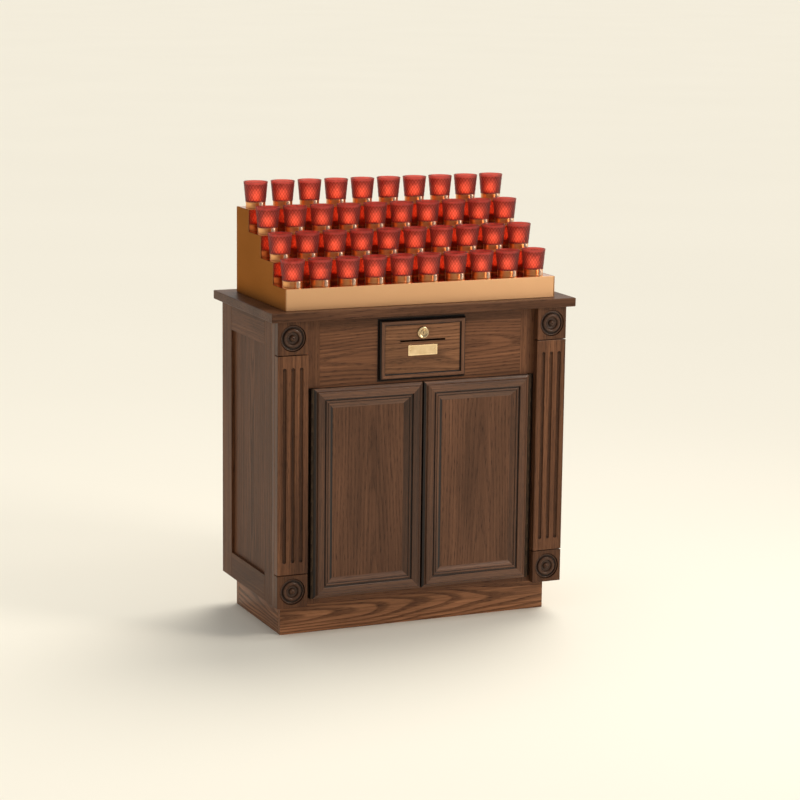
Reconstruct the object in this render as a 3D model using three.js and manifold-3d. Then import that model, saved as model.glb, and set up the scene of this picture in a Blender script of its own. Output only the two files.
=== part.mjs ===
// Votive candle rack: an oak cabinet with two doors and a locking offering drawer. A stepped brass
// rack of electric votive lights stands on its counter top.
//
// Millimetres, +Z up, the front faces -Y. The origin is on the floor, under the middle of the
// counter top's outline.

import * as THREE from 'three';
import { mergeVertices } from 'three/addons/utils/BufferGeometryUtils.js';
import Module from 'manifold-3d';

const wasm = await Module();
wasm.setup();

// ---------------------------------------------------------------- driving dimensions

const GAP = 0.3;                    // between pieces that rest on each other

const COUNTER_WIDTH = 914;
const COUNTER_DEPTH = 474;
const COUNTER_THICK = 25;
const COUNTER_TOP = 914;            // height of the counter above the floor

const CABINET_WIDTH = 870;
const OVERHANG_BACK = 14;
const BOARD = 20;                   // thickness of the sides and the face frame
const BACK_BOARD = 12;

const PILASTER_WIDTH = 89;
const PILASTER_THICK = 24;
const PILASTER_SETBACK = 15;        // counter top's front edge to the pilaster's face
const ROSETTE_BLOCK = 92;           // height of each pilaster's end blocks
const FLUTE_WIDTH = 11;
const FLUTE_DEPTH = 5;
const FLUTE_PITCH = 24.5;
const FLUTE_MARGIN = 35;            // from the end block to the flute's round end
const BLOCK_GROOVE = 3;

const PLINTH_WIDTH = 812;
const PLINTH_HEIGHT = 91;
const PLINTH_BOARD = 18;
const TOE_SPACE = 30;               // plinth behind the face frame
const PLINTH_BACK_INSET = 38;

const STILE_INNER = 304;            // half width of the doorway
const DOORWAY_BOTTOM = 125;
const DOORWAY_TOP = 681;

const DOOR_OUTER = 326;             // from the middle to a door's hinged edge
const DOOR_MEETING_GAP = 4;
const DOOR_BOTTOM = 108;
const DOOR_TOP = 698;
const DOOR_THICK = 22;
const DOOR_BUMPER = 0.6;            // closed door to the face frame
const DOOR_FRAME = 39;              // flat of the door's frame
const DOOR_BEVEL = 18;
const DOOR_RECESS = 9;

const HINGE_OFFSET = 5;             // pin to the door's edge
const HINGE_BARREL = 3.5;           // radius
const HINGE_LEAF = 1.8;
const HINGE_LEAF_WIDTH = 11;

const SIDE_STILE = 76;
const SIDE_PANEL_BOTTOM = 164;
const SIDE_PANEL_TOP = 812;
const SIDE_RECESS = 8;

const DRAWER_WIDTH = 257;
const DRAWER_BOTTOM = 708;
const DRAWER_TOP = 874;
const DRAWER_LIP = 16;              // raised border round the drawer front's field
const DRAWER_RECESS = 6;
const DRAWER_FRONT_THICK = 12;
const DRAWER_OPENING_HALF = 112;
const DRAWER_OPENING_BOTTOM = 724;
const DRAWER_OPENING_TOP = 858;
const DRAWER_BOX_HALF = 110;
const DRAWER_BOX_LENGTH = 330;
const DRAWER_BOX_HEIGHT = 120;
const DRAWER_LOW_FRONT = 62;        // height of the box's front board, below the coin slot
const DRAWER_WALL = 10;
const RUNNER_WIDTH = 30;
const SLOT_HALF = 68;
const SLOT_HEIGHT = 5;
const SLOT_CENTRE = 813.5;

const LOCK_HEIGHT = 835.5;
const LOCK_RADIUS = 8;
const LOCK_PROUD = 4;
const LOCK_CAM_LENGTH = 30;
const LOCK_CAM_THICK = 3;
const LOCK_CAM_BEHIND_FRAME = 2;

const PLATE_WIDTH = 88;
const PLATE_HEIGHT = 29;
const PLATE_THICK = 1.3;
const PLATE_BOTTOM = 772;

const RACK_WIDTH = 812;
const RACK_SETBACK = 35.6;          // counter top's front edge to the rack's fascia
const STEPS = 4;
const TREAD_RUN = 96.1;
const FASCIA_HEIGHT = 59;
const STEP_RISE = 61.3;
const CASING_SHEET = 3;
const DECK_SHEET = 2.5;

const LIGHTS_PER_STEP = 10;
const LIGHT_PITCH = 81;
const GLASS_TO_RISER = 41.5;        // glass axis to the riser behind it
const ROUND = 12;                   // facets round a light
const HOLDER_HEIGHT = 16.5;
const HOLDER_RADIUS = 28.2;
const SPIGOT_RADIUS = 25;
const SPIGOT_HEIGHT = 4;
const GLASS_HEIGHT = 56.2;
const GLASS_FOOT = 28.6;
const GLASS_RIM = 34;
const GLASS_WALL = 3;

const BUTTON_RADIUS = 5.5;
const BUTTON_HOLE = 6.2;
const BUTTON_SIDES = 10;
const BUTTON_HEIGHT = 20;
const BUTTON_FORWARD = 44;          // in front of the glass axis
const COMB_DROP = 16;               // tread to the bar that links its buttons
const COMB_BAR = 4;
const COMB_WIDTH = 10;
const COMB_HALF = 395;
const COMB_BASE = 927;              // underside of the comb's side rails

// ---------------------------------------------------------------- places worked out from them

const counterFront = -COUNTER_DEPTH / 2;
const counterUnder = COUNTER_TOP - COUNTER_THICK;
const cabinetHalf = CABINET_WIDTH / 2;
const cabinetBack = COUNTER_DEPTH / 2 - OVERHANG_BACK;
const cabinetTop = counterUnder - GAP;
const pilasterFront = counterFront + PILASTER_SETBACK;
const frameFront = pilasterFront + PILASTER_THICK;
const frameBack = frameFront + BOARD;
const insideHalf = cabinetHalf - BOARD;
const backFront = cabinetBack - BACK_BOARD;
const doorBack = frameFront - DOOR_BUMPER;
const doorFront = doorBack - DOOR_THICK;
const drawerFrontBack = frameFront - GAP;
const drawerFrontFace = drawerFrontBack - DRAWER_FRONT_THICK;
const drawerField = drawerFrontFace + DRAWER_RECESS;
const rackFront = counterFront + RACK_SETBACK;
const rackBack = rackFront + STEPS * TREAD_RUN;
const rackHalf = RACK_WIDTH / 2;
const rackFoot = COUNTER_TOP + GAP;

const treadHeight = (step) => COUNTER_TOP + FASCIA_HEIGHT + step * STEP_RISE;
const riserPlace = (step) => rackFront + (step + 1) * TREAD_RUN;
const glassPlace = (step) => riserPlace(step) - GLASS_TO_RISER;
const buttonPlace = (step) => glassPlace(step) - BUTTON_FORWARD;
const lightPlace = (index) => (index - (LIGHTS_PER_STEP - 1) / 2) * LIGHT_PITCH;

// ---------------------------------------------------------------- materials

const finish = (color, roughness, metalness = 0) =>
  new THREE.MeshStandardMaterial({ color, roughness, metalness });

const oak = finish(0x5a3a26, 0.5);
const oakPlinth = finish(0x6b4528, 0.55);
const oakInside = finish(0x6a4a30, 0.7);
const rackBrass = finish(0xb98f56, 0.35, 0.8);
const mirrorMetal = finish(0x8a6a55, 0.08, 1);
const polishedBrass = finish(0xd9b060, 0.2, 1);
const bronze = finish(0x30241a, 0.5, 0.8);
const buttonMetal = finish(0xd8d2c8, 0.25, 0.6);
const rubyGlass = finish(0xb01818, 0.1);

// ---------------------------------------------------------------- solids

function solidOf(geometry) {
  const bare = geometry.clone();
  bare.deleteAttribute('normal');
  bare.deleteAttribute('uv');
  const merged = mergeVertices(bare);
  return new wasm.Manifold(new wasm.Mesh({
    numProp: 3,
    vertProperties: new Float32Array(merged.attributes.position.array),
    triVerts: new Uint32Array(merged.index.array),
  }));
}

function geometryOf(solid) {
  const mesh = solid.getMesh();
  const geometry = new THREE.BufferGeometry();
  geometry.setAttribute('position', new THREE.BufferAttribute(mesh.vertProperties, mesh.numProp));
  geometry.setIndex(new THREE.BufferAttribute(mesh.triVerts, 1));
  geometry.computeVertexNormals();
  return geometry;
}

const joined = (solids) => solids.reduce((whole, solid) => whole.add(solid));
const cut = (solid, tools) => tools.reduce((left, tool) => left.subtract(tool), solid);

const ordered = (a, b) => [Math.min(a, b), Math.max(a, b)];

// A block between two values on each axis.
function block([x0, x1], [y0, y1], [z0, z1]) {
  const box = new THREE.BoxGeometry(x1 - x0, y1 - y0, z1 - z0);
  return solidOf(box.translate((x0 + x1) / 2, (y0 + y1) / 2, (z0 + z1) / 2));
}

// A block whose far face, at y1, is smaller by inset on every side.
function taperedBlock([x0, x1], [y0, y1], [z0, z1], inset) {
  const box = new THREE.BoxGeometry(x1 - x0, y1 - y0, z1 - z0);
  const points = box.attributes.position;
  for (let i = 0; i < points.count; i += 1) {
    if (points.getY(i) > 0) {
      points.setX(i, points.getX(i) - Math.sign(points.getX(i)) * inset);
      points.setZ(i, points.getZ(i) - Math.sign(points.getZ(i)) * inset);
    }
  }
  return solidOf(box.translate((x0 + x1) / 2, (y0 + y1) / 2, (z0 + z1) / 2));
}

// A closed [y, z] outline, extruded across X between x0 and x1.
function acrossX(outline, x0, x1) {
  const shape = new THREE.Shape(outline.map(([y, z]) => new THREE.Vector2(y, z)));
  const slab = new THREE.ExtrudeGeometry(shape, { depth: x1 - x0, bevelEnabled: false });
  const turn = new THREE.Matrix4().makeBasis(
    new THREE.Vector3(0, 1, 0), new THREE.Vector3(0, 0, 1), new THREE.Vector3(1, 0, 0));
  return solidOf(slab.applyMatrix4(turn).translate(x0, 0, 0));
}

// A round bar about a vertical axis.
function post(radius, sides, [z0, z1], x, y) {
  const bar = new THREE.CylinderGeometry(radius, radius, z1 - z0, sides);
  return solidOf(bar.rotateX(Math.PI / 2).translate(x, y, (z0 + z1) / 2));
}

// A [radius, height] outline turned about +Z.
function turned(outline, sides) {
  const points = outline.map(([radius, height]) => new THREE.Vector2(radius, height));
  return solidOf(new THREE.LatheGeometry(points, sides).rotateX(Math.PI / 2));
}

const assembly = new THREE.Group();

function add(name, shape, material, position = [0, 0, 0]) {
  const geometry = shape.isBufferGeometry ? shape : geometryOf(shape);
  const mesh = new THREE.Mesh(geometry, material);
  mesh.name = name;
  mesh.position.set(...position);
  assembly.add(mesh);
}

// ---------------------------------------------------------------- cabinet

function plinth() {
  const front = frameFront + TOE_SPACE;
  const back = cabinetBack - PLINTH_BACK_INSET;
  const half = PLINTH_WIDTH / 2;
  const height = [0, PLINTH_HEIGHT - GAP];
  const inner = half - PLINTH_BOARD;
  const hollow = block([-inner, inner], [front + PLINTH_BOARD, back - PLINTH_BOARD], [-1, PLINTH_HEIGHT]);
  return cut(block([-half, half], [front, back], height), [hollow]);
}

function floorBoard() {
  return block([-insideHalf + GAP, insideHalf - GAP], [frameBack + GAP, backFront - GAP],
    [PLINTH_HEIGHT, PLINTH_HEIGHT + PLINTH_BOARD]);
}

// side is -1 for the left and 1 for the right. The recess is in the outer face.
function sidePanel(side) {
  const across = ordered(side * insideHalf, side * cabinetHalf);
  const recess = ordered(side * (cabinetHalf - SIDE_RECESS), side * (cabinetHalf + 1));
  return cut(block(across, [frameBack + GAP, cabinetBack], [PLINTH_HEIGHT, cabinetTop]), [
    block(recess, [frameFront + SIDE_STILE, cabinetBack - SIDE_STILE], [SIDE_PANEL_BOTTOM, SIDE_PANEL_TOP]),
  ]);
}

function backPanel() {
  return block([-insideHalf + GAP, insideHalf - GAP], [backFront, cabinetBack], [PLINTH_HEIGHT, cabinetTop]);
}

function counterTop() {
  const half = COUNTER_WIDTH / 2;
  return block([-half, half], [counterFront, -counterFront], [counterUnder, COUNTER_TOP]);
}

// Stiles, apron and bottom rail in one, with the two runners that the drawer slides on.
function faceFrame() {
  const thick = [frameFront - 1, frameBack + 1];
  const opening = [-DRAWER_OPENING_HALF, DRAWER_OPENING_HALF];
  const whole = block([-cabinetHalf, cabinetHalf], [frameFront, frameBack], [PLINTH_HEIGHT, cabinetTop]);
  const board = cut(whole, [
    block([-STILE_INNER, STILE_INNER], thick, [DOORWAY_BOTTOM, DOORWAY_TOP]),
    block(opening, thick, [DRAWER_OPENING_BOTTOM, DRAWER_OPENING_TOP]),
  ]);
  const runner = (side) => {
    const across = ordered(side * DRAWER_OPENING_HALF, side * (DRAWER_OPENING_HALF - RUNNER_WIDTH));
    return block(across, [frameBack - 1, backFront - GAP],
      [DRAWER_OPENING_BOTTOM - BOARD, DRAWER_OPENING_BOTTOM]);
  };
  return joined([board, runner(-1), runner(1)]);
}

// A flute is a half-round groove with round ends.
function flute(x) {
  const radius = (FLUTE_WIDTH ** 2 / 4 + FLUTE_DEPTH ** 2) / (2 * FLUTE_DEPTH);
  const length = cabinetTop - PLINTH_HEIGHT - 2 * (ROSETTE_BLOCK + FLUTE_MARGIN) - FLUTE_WIDTH;
  const tool = new THREE.CapsuleGeometry(radius, length, 4, 12).rotateX(Math.PI / 2);
  return solidOf(tool.translate(x, pilasterFront - radius + FLUTE_DEPTH, (cabinetTop + PLINTH_HEIGHT) / 2));
}

function pilaster(side) {
  const middle = side * (cabinetHalf - PILASTER_WIDTH / 2);
  const across = [middle - PILASTER_WIDTH / 2, middle + PILASTER_WIDTH / 2];
  const face = [pilasterFront - 1, pilasterFront + BLOCK_GROOVE];
  const wider = [across[0] - 1, across[1] + 1];
  const groove = (z) => block(wider, face, [z - BLOCK_GROOVE / 2, z + BLOCK_GROOVE / 2]);
  return cut(block(across, [pilasterFront, frameFront - GAP], [PLINTH_HEIGHT, cabinetTop]), [
    groove(PLINTH_HEIGHT + ROSETTE_BLOCK),
    groove(cabinetTop - ROSETTE_BLOCK),
    ...[-1, 0, 1].map((place) => flute(middle + place * FLUTE_PITCH)),
  ]);
}

// ---------------------------------------------------------------- doors and their hinges

function door(side) {
  const across = ordered(side * DOOR_MEETING_GAP / 2, side * DOOR_OUTER);
  const height = [DOOR_BOTTOM, DOOR_TOP];
  const within = ([low, high]) => [low + DOOR_FRAME, high - DOOR_FRAME];
  const depth = [doorFront, doorFront + DOOR_RECESS];
  const recess = taperedBlock(within(across), depth, within(height), DOOR_BEVEL);
  const mouth = block(within(across), [doorFront - 1, doorFront + 0.01], within(height));
  return cut(block(across, [doorFront, doorBack], height), [recess.add(mouth)]);
}

// The fixed half of a continuous hinge: the barrel, and a leaf that turns out along the face frame.
function hinge(side) {
  const pin = side * (DOOR_OUTER + HINGE_OFFSET);
  const middle = (doorFront + doorBack) / 2;
  const barrel = post(HINGE_BARREL, ROUND, [DOOR_BOTTOM, DOOR_TOP], pin, middle);
  const outer = (distance) => pin + side * distance;
  const web = ordered(outer(HINGE_BARREL - HINGE_LEAF), outer(HINGE_BARREL));
  const leaf = ordered(outer(HINGE_BARREL - HINGE_LEAF), outer(HINGE_LEAF_WIDTH));
  const height = [DOOR_BOTTOM, DOOR_TOP];
  return joined([
    barrel,
    block(web, [middle, frameFront - GAP], height),
    block(leaf, [frameFront - GAP - HINGE_LEAF, frameFront - GAP], height),
  ]);
}

// ---------------------------------------------------------------- offering drawer

function lockHole(radius) {
  const bar = new THREE.CylinderGeometry(radius, radius, 3 * DRAWER_FRONT_THICK, ROUND);
  return solidOf(bar.translate(0, drawerFrontFace, LOCK_HEIGHT));
}

// A board with a raised border, the coin slot and the lock's hole.
function drawerFront() {
  const half = DRAWER_WIDTH / 2;
  const field = half - DRAWER_LIP;
  const slot = block([-SLOT_HALF, SLOT_HALF], [drawerFrontFace - 1, drawerFrontBack + 1],
    [SLOT_CENTRE - SLOT_HEIGHT / 2, SLOT_CENTRE + SLOT_HEIGHT / 2]);
  const board = block([-half, half], [drawerFrontFace, drawerFrontBack], [DRAWER_BOTTOM, DRAWER_TOP]);
  const recess = block([-field, field], [drawerFrontFace - 1, drawerField],
    [DRAWER_BOTTOM + DRAWER_LIP, DRAWER_TOP - DRAWER_LIP]);
  return cut(board, [recess, slot, lockHole(LOCK_RADIUS + GAP)]);
}

// An open-topped box whose front board stops below the coin slot.
function drawerBox() {
  const front = drawerFrontBack + GAP;
  const back = front + DRAWER_BOX_LENGTH;
  const foot = DRAWER_OPENING_BOTTOM + 1;
  const rim = foot + DRAWER_BOX_HEIGHT;
  const inner = DRAWER_BOX_HALF - DRAWER_WALL;
  return cut(block([-DRAWER_BOX_HALF, DRAWER_BOX_HALF], [front, back], [foot, rim]), [
    block([-inner, inner], [front + DRAWER_WALL, back - DRAWER_WALL], [foot + DRAWER_WALL, rim + 1]),
    block([-inner, inner], [front - 1, front + DRAWER_WALL + 1], [foot + DRAWER_LOW_FRONT, rim + 1]),
  ]);
}

// The plug turns in the drawer front. Its cam lies level, and stands up behind the frame when locked.
function lockPlug() {
  const face = drawerField - LOCK_PROUD;
  const camFront = frameBack + LOCK_CAM_BEHIND_FRAME;
  const camBack = camFront + LOCK_CAM_THICK;
  const bar = new THREE.CylinderGeometry(LOCK_RADIUS, LOCK_RADIUS, camBack - face, ROUND);
  const camHeight = [LOCK_HEIGHT - LOCK_RADIUS / 2, LOCK_HEIGHT + LOCK_RADIUS / 2];
  return joined([
    solidOf(bar.translate(0, (face + camBack) / 2, LOCK_HEIGHT)),
    block([0, LOCK_CAM_LENGTH], [camFront, camBack], camHeight),
  ]);
}

function namePlate() {
  const back = drawerField - GAP;
  return block([-PLATE_WIDTH / 2, PLATE_WIDTH / 2], [back - PLATE_THICK, back],
    [PLATE_BOTTOM, PLATE_BOTTOM + PLATE_HEIGHT]);
}

// ---------------------------------------------------------------- lamp rack

// The line of treads and risers from front to back, as [y, z] points, each moved by inset.
function stairLine(front, back, inset) {
  const line = [[front, treadHeight(0) - inset]];
  for (let step = 0; step < STEPS - 1; step += 1) {
    line.push([riserPlace(step) + inset, treadHeight(step) - inset]);
    line.push([riserPlace(step) + inset, treadHeight(step + 1) - inset]);
  }
  line.push([back, treadHeight(STEPS - 1) - inset]);
  return line;
}

function rackCasing() {
  const stairs = stairLine(rackFront, rackBack, 0);
  const outline = [[rackFront, rackFoot], [rackBack, rackFoot], ...stairs.reverse()];
  const inner = rackHalf - CASING_SHEET;
  return joined([
    acrossX(outline, -rackHalf, -inner),
    acrossX(outline, inner, rackHalf),
    block([-rackHalf, rackHalf], [rackFront, rackFront + CASING_SHEET], [rackFoot, treadHeight(0)]),
    block([-rackHalf, rackHalf], [rackBack - CASING_SHEET, rackBack], [rackFoot, treadHeight(STEPS - 1)]),
  ]);
}

function lampHolder() {
  const sunk = -1;
  return turned([
    [0, sunk],
    [HOLDER_RADIUS, sunk],
    [HOLDER_RADIUS, HOLDER_HEIGHT],
    [SPIGOT_RADIUS, HOLDER_HEIGHT],
    [SPIGOT_RADIUS, HOLDER_HEIGHT + SPIGOT_HEIGHT],
    [0, HOLDER_HEIGHT + SPIGOT_HEIGHT],
  ], ROUND);
}

// Every light as [step, index], counted from the front step and from the left.
const lights = Array.from({ length: STEPS * LIGHTS_PER_STEP }, (_, count) =>
  [Math.floor(count / LIGHTS_PER_STEP), count % LIGHTS_PER_STEP]);

function lampDeck() {
  const half = rackHalf - CASING_SHEET - GAP;
  const front = rackFront + CASING_SHEET + GAP;
  const back = rackBack - CASING_SHEET - GAP;
  const outline = [...stairLine(front, back, DECK_SHEET), ...stairLine(front, back, 0).reverse()];
  const sheet = acrossX(outline, -half, half);
  const holder = lampHolder();
  const holders = lights.map(([step, index]) =>
    holder.translate([lightPlace(index), glassPlace(step), treadHeight(step)]));
  const holes = lights.map(([step, index]) =>
    post(BUTTON_HOLE, BUTTON_SIDES, [treadHeight(step) - 2 * DECK_SHEET, treadHeight(step) + DECK_SHEET],
      lightPlace(index), buttonPlace(step)));
  return cut(joined([sheet, ...holders]), holes);
}

// Each step's buttons stand on a bar below the tread, and side rails link the four bars.
function buttonComb() {
  const rail = [COMB_BASE, COMB_BASE + COMB_WIDTH];
  const wide = (middle) => [middle - COMB_WIDTH / 2, middle + COMB_WIDTH / 2];
  const barTop = (step) => treadHeight(step) - COMB_DROP;
  const pieces = [];
  for (let step = 0; step < STEPS; step += 1) {
    const depth = wide(buttonPlace(step));
    pieces.push(block([-COMB_HALF, COMB_HALF], depth, [barTop(step) - COMB_BAR, barTop(step)]));
    for (const side of [-1, 1]) {
      pieces.push(block(wide(side * (COMB_HALF - COMB_WIDTH / 2)), depth, [COMB_BASE, barTop(step)]));
    }
  }
  for (const side of [-1, 1]) {
    const depth = [buttonPlace(0), buttonPlace(STEPS - 1)];
    pieces.push(block(wide(side * (COMB_HALF - COMB_WIDTH / 2)), depth, rail));
  }
  for (const [step, index] of lights) {
    pieces.push(post(BUTTON_RADIUS, BUTTON_SIDES, [barTop(step) - 1, treadHeight(step) + BUTTON_HEIGHT],
      lightPlace(index), buttonPlace(step)));
  }
  return joined(pieces);
}

// An open-ended ruby glass that stands over the spigot of its lamp holder.
function glassSleeve() {
  return turned([
    [GLASS_FOOT, 0],
    [GLASS_RIM, GLASS_HEIGHT],
    [GLASS_RIM - GLASS_WALL, GLASS_HEIGHT],
    [GLASS_FOOT - GLASS_WALL, 0],
    [GLASS_FOOT, 0],
  ], ROUND);
}

// ---------------------------------------------------------------- the whole rack

add('plinth', plinth(), oakPlinth);
add('cabinet_floor', floorBoard(), oakInside);
add('side_left', sidePanel(-1), oak);
add('side_right', sidePanel(1), oak);
add('back_panel', backPanel(), oakInside);
add('counter_top', counterTop(), oak);
add('face_frame', faceFrame(), oak);
add('pilaster_left', pilaster(-1), oak);
add('pilaster_right', pilaster(1), oak);
add('door_left', door(-1), oak);
add('door_right', door(1), oak);
add('hinge_left', hinge(-1), bronze);
add('hinge_right', hinge(1), bronze);
add('drawer_front', drawerFront(), oak);
add('drawer_box', drawerBox(), oakInside);
add('lock_plug', lockPlug(), polishedBrass);
add('name_plate', namePlate(), polishedBrass);
add('rack_casing', rackCasing(), rackBrass);
add('lamp_deck', lampDeck(), mirrorMetal);
add('push_buttons', buttonComb(), buttonMetal);

const sleeve = geometryOf(glassSleeve());
for (const [step, index] of lights) {
  const place = [lightPlace(index), glassPlace(step), treadHeight(step) + HOLDER_HEIGHT + GAP];
  add(`glass_${step + 1}_${String(index + 1).padStart(2, '0')}`, sleeve, rubyGlass, place);
}

export default assembly;
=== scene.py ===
"""Votive candle rack: the looks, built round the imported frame. Metres, +Z up, the front faces -Y."""

import math

import bmesh
import bpy
from mathutils import Matrix, Vector


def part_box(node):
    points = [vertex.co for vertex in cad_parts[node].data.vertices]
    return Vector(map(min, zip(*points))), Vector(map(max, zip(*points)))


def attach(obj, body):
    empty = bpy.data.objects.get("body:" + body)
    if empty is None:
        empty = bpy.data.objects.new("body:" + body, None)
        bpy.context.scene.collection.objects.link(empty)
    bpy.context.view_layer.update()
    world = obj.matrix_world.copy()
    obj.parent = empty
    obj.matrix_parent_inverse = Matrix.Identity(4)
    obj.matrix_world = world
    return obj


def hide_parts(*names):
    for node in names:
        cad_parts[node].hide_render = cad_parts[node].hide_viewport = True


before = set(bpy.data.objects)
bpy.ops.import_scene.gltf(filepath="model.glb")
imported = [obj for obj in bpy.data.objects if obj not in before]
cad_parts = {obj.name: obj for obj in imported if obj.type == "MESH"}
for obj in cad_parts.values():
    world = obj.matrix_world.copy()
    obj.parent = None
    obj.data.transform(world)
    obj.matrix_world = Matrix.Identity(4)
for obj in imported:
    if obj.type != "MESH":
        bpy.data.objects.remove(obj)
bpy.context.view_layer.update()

MM = 0.001
CABINET = "cabinet"
LIGHTS_PER_STEP = 10
STEPS = 4


# ---------------------------------------------------------------- camera, lights and floor

CAMERA_PLACE = (-2.791, -6.425, 1.962)
CAMERA_YAW = 23.65                    # degrees from +Y towards +X
CAMERA_PITCH = -10.94
CAMERA_ROLL = 0.68
CAMERA_LENS = 112.5
CAMERA_SENSOR = 36

AREA_LIGHTS = {                       # place, aim, side of the square, watts, colour, spread in degrees
    "key": ((2.45, -2.65, 2.7), (0, 0, 0.6), 1.1, 13.8, (1.0, 0.91, 0.78), 90),
    "reflector": ((1.8, -2.4, 1.2), (0.35, -0.2, 0.95), 0.5, 0.34, (1.0, 0.93, 0.84), 40),
    "overhead": ((1.1, -1.0, 3.3), (0, 0, 0.6), 0.6, 8, (1.0, 0.95, 0.86), 180),
}
FLOOR_HALF = 90


def make_camera():
    yaw, pitch, roll = (math.radians(a) for a in (CAMERA_YAW, CAMERA_PITCH, CAMERA_ROLL))
    forward = Vector((math.sin(yaw) * math.cos(pitch), math.cos(yaw) * math.cos(pitch), math.sin(pitch)))
    level = Vector((math.cos(yaw), -math.sin(yaw), 0))
    upright = level.cross(forward)
    right = level * math.cos(roll) + upright * math.sin(roll)
    up = upright * math.cos(roll) - level * math.sin(roll)
    camera = bpy.data.objects.new("camera", bpy.data.cameras.new("camera"))
    camera.data.lens = CAMERA_LENS
    camera.data.sensor_width = CAMERA_SENSOR
    camera.data.clip_end = 400
    turn = Matrix((right, up, -forward)).transposed().to_4x4()
    camera.matrix_world = Matrix.Translation(CAMERA_PLACE) @ turn
    bpy.context.collection.objects.link(camera)
    bpy.context.scene.camera = camera


def area_light(name, place, aim, side, watts, color, spread):
    data = bpy.data.lights.new(name, "AREA")
    data.spread = math.radians(spread)
    data.shape = "RECTANGLE"
    data.size = data.size_y = side
    data.energy = watts
    data.color = color
    light = bpy.data.objects.new(name, data)
    light.location = place
    light.rotation_euler = (Vector(aim) - Vector(place)).to_track_quat("-Z", "Y").to_euler()
    bpy.context.collection.objects.link(light)


ROOM_DIM = (0.31, 0.305, 0.285)       # the room's light from the front left
ROOM_BRIGHT = (0.84, 0.82, 0.76)      # and from the back right
ROOM_TURN = 35                        # degrees from +Y towards +X, to the room's bright side


def make_world():
    """A room that is dimmer in front of the rack and to its left."""
    world = bpy.data.worlds.new("studio")
    world.use_nodes = True
    nodes, links = world.node_tree.nodes, world.node_tree.links
    way = nodes.new("ShaderNodeTexCoord")
    parts = nodes.new("ShaderNodeSeparateXYZ")
    turned = nodes.new("ShaderNodeMapping")
    turned.inputs["Rotation"].default_value[2] = math.radians(ROOM_TURN)
    span = nodes.new("ShaderNodeMapRange")
    span.inputs["From Min"].default_value = -1
    fade = nodes.new("ShaderNodeValToRGB")
    for element, color in zip(fade.color_ramp.elements, (ROOM_DIM, ROOM_BRIGHT)):
        element.color = (*color, 1)
    links.new(way.outputs["Generated"], turned.inputs[0])
    links.new(turned.outputs[0], parts.inputs[0])
    links.new(parts.outputs["Y"], span.inputs["Value"])
    links.new(span.outputs[0], fade.inputs[0])
    links.new(fade.outputs[0], nodes["Background"].inputs["Color"])
    bpy.context.scene.world = world


def sun_light(name, toward, spread, strength, color):
    """A distant soft light that comes from the direction `toward`, spread over some degrees of the sky."""
    data = bpy.data.lights.new(name, "SUN")
    data.energy = strength
    data.color = color
    data.angle = math.radians(spread)
    light = bpy.data.objects.new(name, data)
    light.rotation_euler = Vector(toward).to_track_quat("Z", "Y").to_euler()
    bpy.context.collection.objects.link(light)


def make_studio():
    make_world()
    bpy.context.scene.view_settings.view_transform = "Standard"
    for name, light in AREA_LIGHTS.items():
        area_light(name, *light)
    sun_light("window", (0.55, 0.45, 1.0), 38, 1.7, (1.0, 0.94, 0.82))

    shade = Shader("floor_paper", roughness=0.9, specular=0.1)
    tone = shade.noise(shade.coordinates((0.6, 0.6, 0.6)), detail=1)
    shade.color(shade.ramp(tone, [(0.3, (0.880, 0.855, 0.79)), (0.7, (0.890, 0.865, 0.80))]))
    corners = [(x * FLOOR_HALF, y * FLOOR_HALF, 0) for x, y in ((-1, -1), (1, -1), (1, 1), (-1, 1))]
    floor = mesh_piece("floor", corners, [(0, 1, 2, 3)], shade.material)


# ---------------------------------------------------------------- materials

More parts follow.
